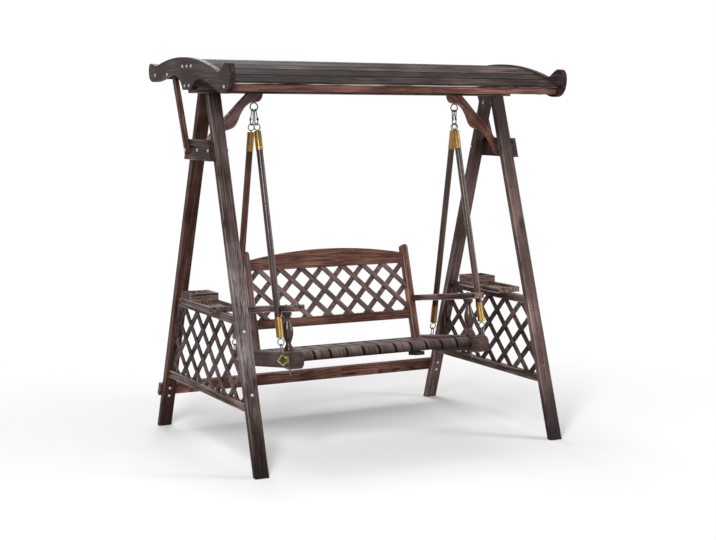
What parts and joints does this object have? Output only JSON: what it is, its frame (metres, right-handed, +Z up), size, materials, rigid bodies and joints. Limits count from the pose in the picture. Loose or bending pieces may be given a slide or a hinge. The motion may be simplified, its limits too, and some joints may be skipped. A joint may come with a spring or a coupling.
{
  "type": "garden swing seat",
  "caption": "Free-standing wooden garden swing: A-frames with lattice side panels and trays, curved plank roof, and a lattice-backed bench hung from poles, rings and snap hooks.",
  "frame": {"origin": "on the ground, under the middle of the frame", "axes": "+Z up, -Y towards the sitter's front, +X to the right as seen from the front"},
  "size_m": [1.95, 1.295, 1.986],
  "materials": {
    "brown_wood": "charred and stained, satin, worn at the edges",
    "red_wood": "reddish brown stain, satin",
    "roof_wood": "weathered grey-brown, matt",
    "pole_wood": "varnished, glossy",
    "brass": "polished, lightly worn",
    "steel": "bright zinc",
    "bolt_steel": "bright zinc domed heads"
  },
  "bodies": {
    "frame": {"cross_plate_left": "brown_wood", "cross_plate_right": "brown_wood", "cup_box_left": "brown_wood", "cup_box_right": "brown_wood", "eye_bolts": "steel", "frame_bolts": "bolt_steel", "knee_bracket_left": "red_wood", "knee_bracket_right": "red_wood", "leg_front_left": "brown_wood", "leg_front_right": "brown_wood", "leg_rear_left": "brown_wood", "leg_rear_right": "brown_wood", "main_beam": "brown_wood", "rear_stretcher": "brown_wood", "roof_end_board_left": "brown_wood", "roof_end_board_right": "brown_wood", "roof_fascias": "red_wood", "roof_planks": "roof_wood", "roof_ribs": "brown_wood", "roof_strut_left": "brown_wood", "roof_strut_right": "brown_wood", "side_lattice_left": "brown_wood", "side_lattice_right": "brown_wood", "side_lower_rail_left": "brown_wood", "side_lower_rail_right": "brown_wood", "side_stiles": "brown_wood", "side_upper_rail_left": "brown_wood", "side_upper_rail_right": "brown_wood", "tray_left": "brown_wood", "tray_right": "brown_wood"},
    "swing": {"top_hooks": "steel", "pole_front_left": "pole_wood", "pole_front_right": "pole_wood", "pole_rear_left": "pole_wood", "pole_rear_right": "pole_wood", "pole_ferrules": "brass", "pole_eyes": "steel", "lower_hooks": "steel", "seat_eye_plates": "brass", "seat_rail_left": "brown_wood", "seat_rail_right": "brown_wood", "seat_slats": "brown_wood", "seat_bearers": "brown_wood", "back_post_left": "red_wood", "back_post_right": "red_wood", "back_top_rail": "red_wood", "back_lower_rail": "red_wood", "back_lattice": "brown_wood", "arm_left": "brown_wood", "arm_right": "brown_wood", "balusters": "brown_wood", "bench_bolts": "bolt_steel"},
    "gate_low_front_left": {"hook_gate_low_front_left": "steel"},
    "gate_low_front_right": {"hook_gate_low_front_right": "steel"},
    "gate_low_rear_left": {"hook_gate_low_rear_left": "steel"},
    "gate_low_rear_right": {"hook_gate_low_rear_right": "steel"},
    "gate_top_front_left": {"hook_gate_top_front_left": "steel"},
    "gate_top_front_right": {"hook_gate_top_front_right": "steel"},
    "gate_top_rear_left": {"hook_gate_top_rear_left": "steel"},
    "gate_top_rear_right": {"hook_gate_top_rear_right": "steel"}
  },
  "joints": [
    {"name": "swing_hinge", "type": "hinge", "parent": "frame", "child": "swing", "pos_m": [0, 0, 1.71938], "axis": [1, 0, 0], "range_deg": [-22, 22]},
    {"name": "gate_low_front_left_hinge", "type": "hinge", "parent": "swing", "child": "gate_low_front_left", "pos_m": [-0.5965, -0.31377, 0.51614], "axis": [1, 0, 0], "range_deg": [0, 22], "stiffness_Nm_per_rad": 0.05, "springref_deg": -17.19},
    {"name": "gate_low_front_right_hinge", "type": "hinge", "parent": "swing", "child": "gate_low_front_right", "pos_m": [0.5965, -0.31377, 0.51614], "axis": [1, 0, 0], "range_deg": [0, 22], "stiffness_Nm_per_rad": 0.05, "springref_deg": -17.19},
    {"name": "gate_low_rear_left_hinge", "type": "hinge", "parent": "swing", "child": "gate_low_rear_left", "pos_m": [-0.6115, 0.23449, 0.44365], "axis": [1, 0, 0], "range_deg": [0, 22], "stiffness_Nm_per_rad": 0.05, "springref_deg": -17.19},
    {"name": "gate_low_rear_right_hinge", "type": "hinge", "parent": "swing", "child": "gate_low_rear_right", "pos_m": [0.6115, 0.23449, 0.44365], "axis": [1, 0, 0], "range_deg": [0, 22], "stiffness_Nm_per_rad": 0.05, "springref_deg": -17.19},
    {"name": "gate_top_front_left_hinge", "type": "hinge", "parent": "swing", "child": "gate_top_front_left", "pos_m": [-0.5965, -0.03014, 1.67464], "axis": [-1, 0, 0], "range_deg": [0, 18], "stiffness_Nm_per_rad": 0.05, "springref_deg": -17.19},
    {"name": "gate_top_front_right_hinge", "type": "hinge", "parent": "swing", "child": "gate_top_front_right", "pos_m": [0.5965, -0.03014, 1.67464], "axis": [-1, 0, 0], "range_deg": [0, 18], "stiffness_Nm_per_rad": 0.05, "springref_deg": -17.19},
    {"name": "gate_top_rear_left_hinge", "type": "hinge", "parent": "swing", "child": "gate_top_rear_left", "pos_m": [-0.6115, 0.0259, 1.67206], "axis": [1, 0, 0], "range_deg": [0, 18], "stiffness_Nm_per_rad": 0.05, "springref_deg": -17.19},
    {"name": "gate_top_rear_right_hinge", "type": "hinge", "parent": "swing", "child": "gate_top_rear_right", "pos_m": [0.6115, 0.0259, 1.67206], "axis": [1, 0, 0], "range_deg": [0, 18], "stiffness_Nm_per_rad": 0.05, "springref_deg": -17.19}
  ]
}
